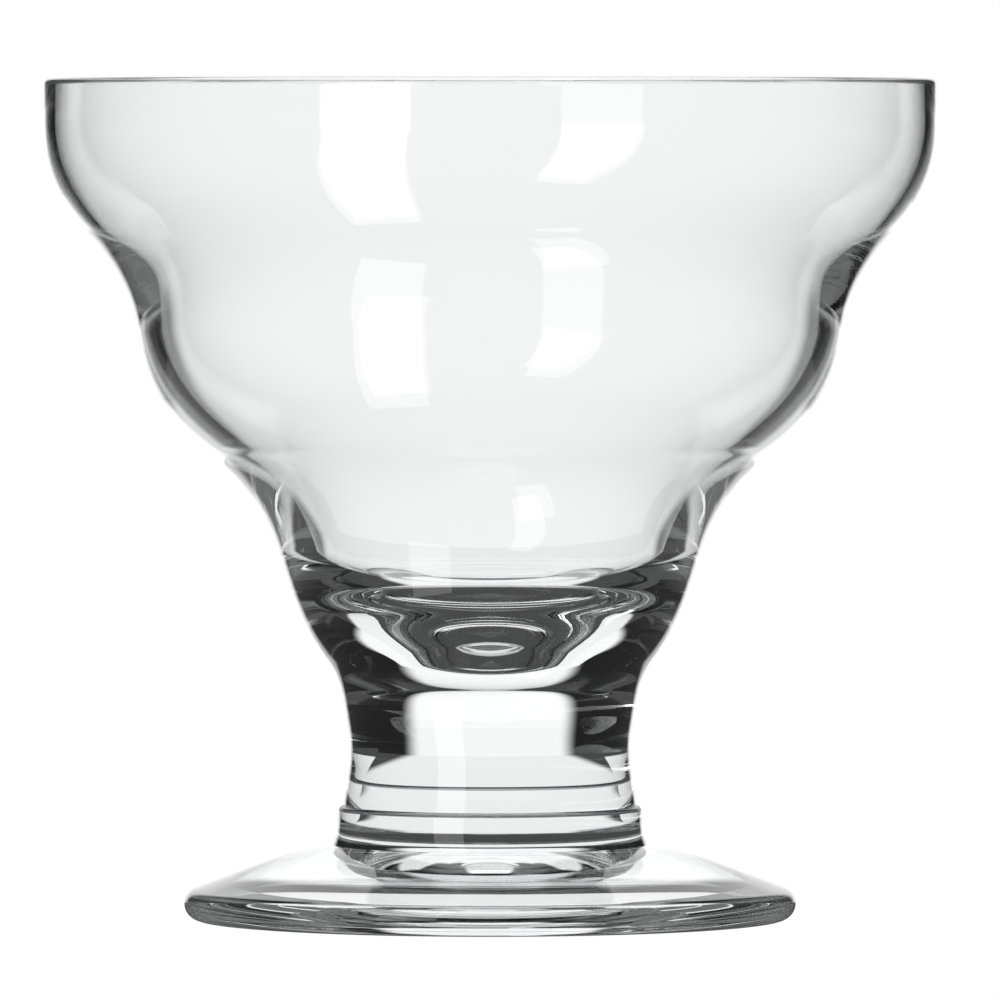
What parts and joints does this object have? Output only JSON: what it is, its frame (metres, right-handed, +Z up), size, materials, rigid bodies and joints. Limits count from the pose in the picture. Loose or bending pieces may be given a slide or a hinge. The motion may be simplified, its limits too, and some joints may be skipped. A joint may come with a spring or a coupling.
{
  "type": "parfait glass",
  "caption": "Low footed parfait glass in clear pressed glass: a wide waved bowl with a small round well in its floor, on a short solid stem with a collar and a round hollowed foot.",
  "frame": {"origin": "centre of the foot's underside, on the surface that the glass stands on", "axes": "+Z up the axis of the glass, from the foot to the rim; X and Y are level and alike, because the glass is round"},
  "size_m": [0.0892, 0.0892, 0.0842],
  "materials": {
    "bowl_glass": "clear soda-lime glass, fire-polished",
    "stem_glass": "clear soda-lime glass, fire-polished",
    "collar_glass": "clear soda-lime glass, fire-polished",
    "foot_glass": "clear soda-lime glass, fire-polished"
  },
  "bodies": {
    "root": {"bowl": "bowl_glass", "stem": "stem_glass", "collar": "collar_glass", "foot": "foot_glass"}
  },
  "joints": []
}
